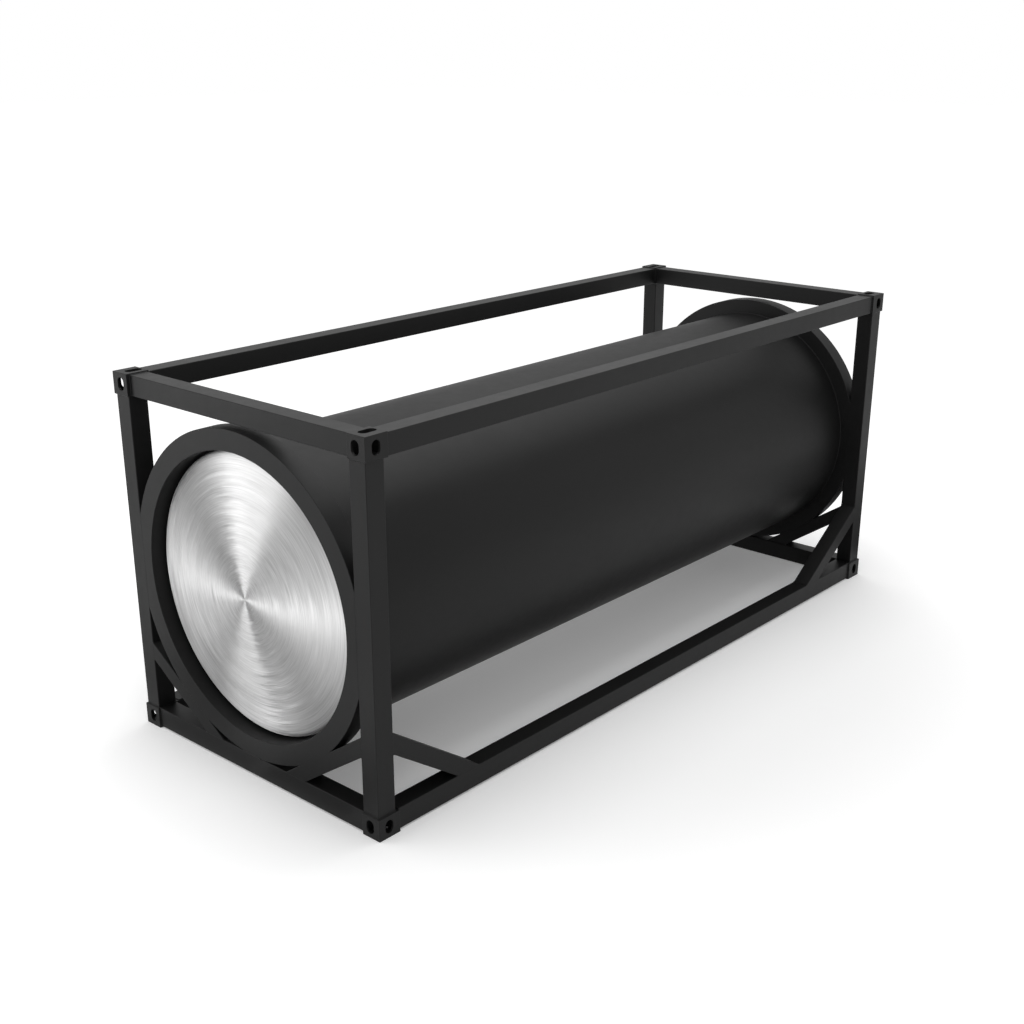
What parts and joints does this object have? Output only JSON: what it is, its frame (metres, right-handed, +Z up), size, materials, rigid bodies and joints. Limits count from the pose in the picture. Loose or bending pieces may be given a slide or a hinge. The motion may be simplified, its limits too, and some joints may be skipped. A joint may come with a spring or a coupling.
{
  "type": "twenty-foot tank container",
  "caption": "Horizontal cylindrical tank with brushed dished ends, carried by wide end rings in an open black ISO frame with corner castings.",
  "frame": {"origin": "middle of the footprint, on the ground under the four base castings", "axes": "X along the length with the front end at -X, Y across with the left side at -Y, Z up"},
  "size_m": [6.058, 2.438, 2.591],
  "materials": {
    "frame_black": "satin",
    "casting_black": "satin",
    "tank_black": "satin",
    "spun_steel": "brushed in circles"
  },
  "bodies": {
    "root": {"casting_base_front_left": "casting_black", "casting_base_front_right": "casting_black", "casting_base_rear_left": "casting_black", "casting_base_rear_right": "casting_black", "casting_roof_front_left": "casting_black", "casting_roof_front_right": "casting_black", "casting_roof_rear_left": "casting_black", "casting_roof_rear_right": "casting_black", "base_side_rail_left": "frame_black", "base_side_rail_right": "frame_black", "roof_side_rail_left": "frame_black", "roof_side_rail_right": "frame_black", "base_end_rail_front": "frame_black", "base_end_rail_rear": "frame_black", "roof_end_rail_front": "frame_black", "roof_end_rail_rear": "frame_black", "post_front_left": "frame_black", "post_front_right": "frame_black", "post_rear_left": "frame_black", "post_rear_right": "frame_black", "side_brace_front_left": "frame_black", "side_brace_front_right": "frame_black", "side_brace_rear_left": "frame_black", "side_brace_rear_right": "frame_black", "end_brace_front_left": "frame_black", "end_brace_front_right": "frame_black", "end_brace_rear_left": "frame_black", "end_brace_rear_right": "frame_black", "end_ring_front": "frame_black", "end_ring_rear": "frame_black", "tank_barrel": "tank_black", "tank_end_front": "spun_steel", "tank_end_rear": "spun_steel"}
  },
  "joints": []
}
